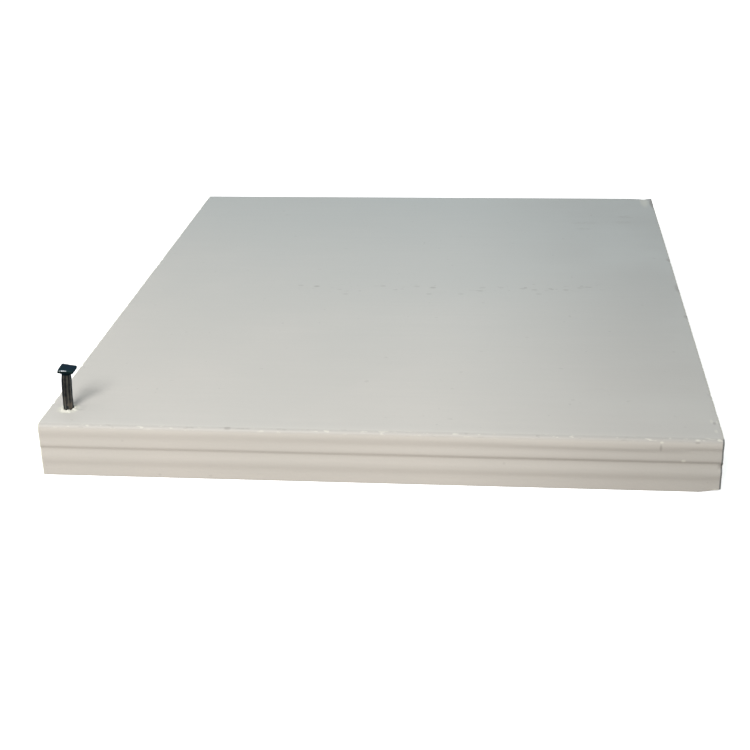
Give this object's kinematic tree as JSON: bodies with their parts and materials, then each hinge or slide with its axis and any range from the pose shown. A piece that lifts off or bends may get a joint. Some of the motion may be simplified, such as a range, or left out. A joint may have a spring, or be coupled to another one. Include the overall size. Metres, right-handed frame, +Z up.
{
  "type": "plastic formwork panel",
  "caption": "Hollow extruded plastic formwork panel with open cells at its ends, closed rippled long sides and a square-headed nail driven into one corner.",
  "frame": {"origin": "middle of the underside, which the panel rests on", "axes": "+X along the cells, from the nailed end to the other end, +Y across the cells, from the nailed side to the other side, +Z up out of the face that the nail stands in"},
  "size_m": [0.22, 0.2676, 0.033],
  "materials": {
    "panel_plastic": "semi-matt, off-white, a little mottled and scuffed, as extruded",
    "nail_steel": "dark, hardened steel with a brown bloom near the plastic"
  },
  "bodies": {
    "root": {"panel": "panel_plastic", "nail": "nail_steel"}
  },
  "joints": []
}
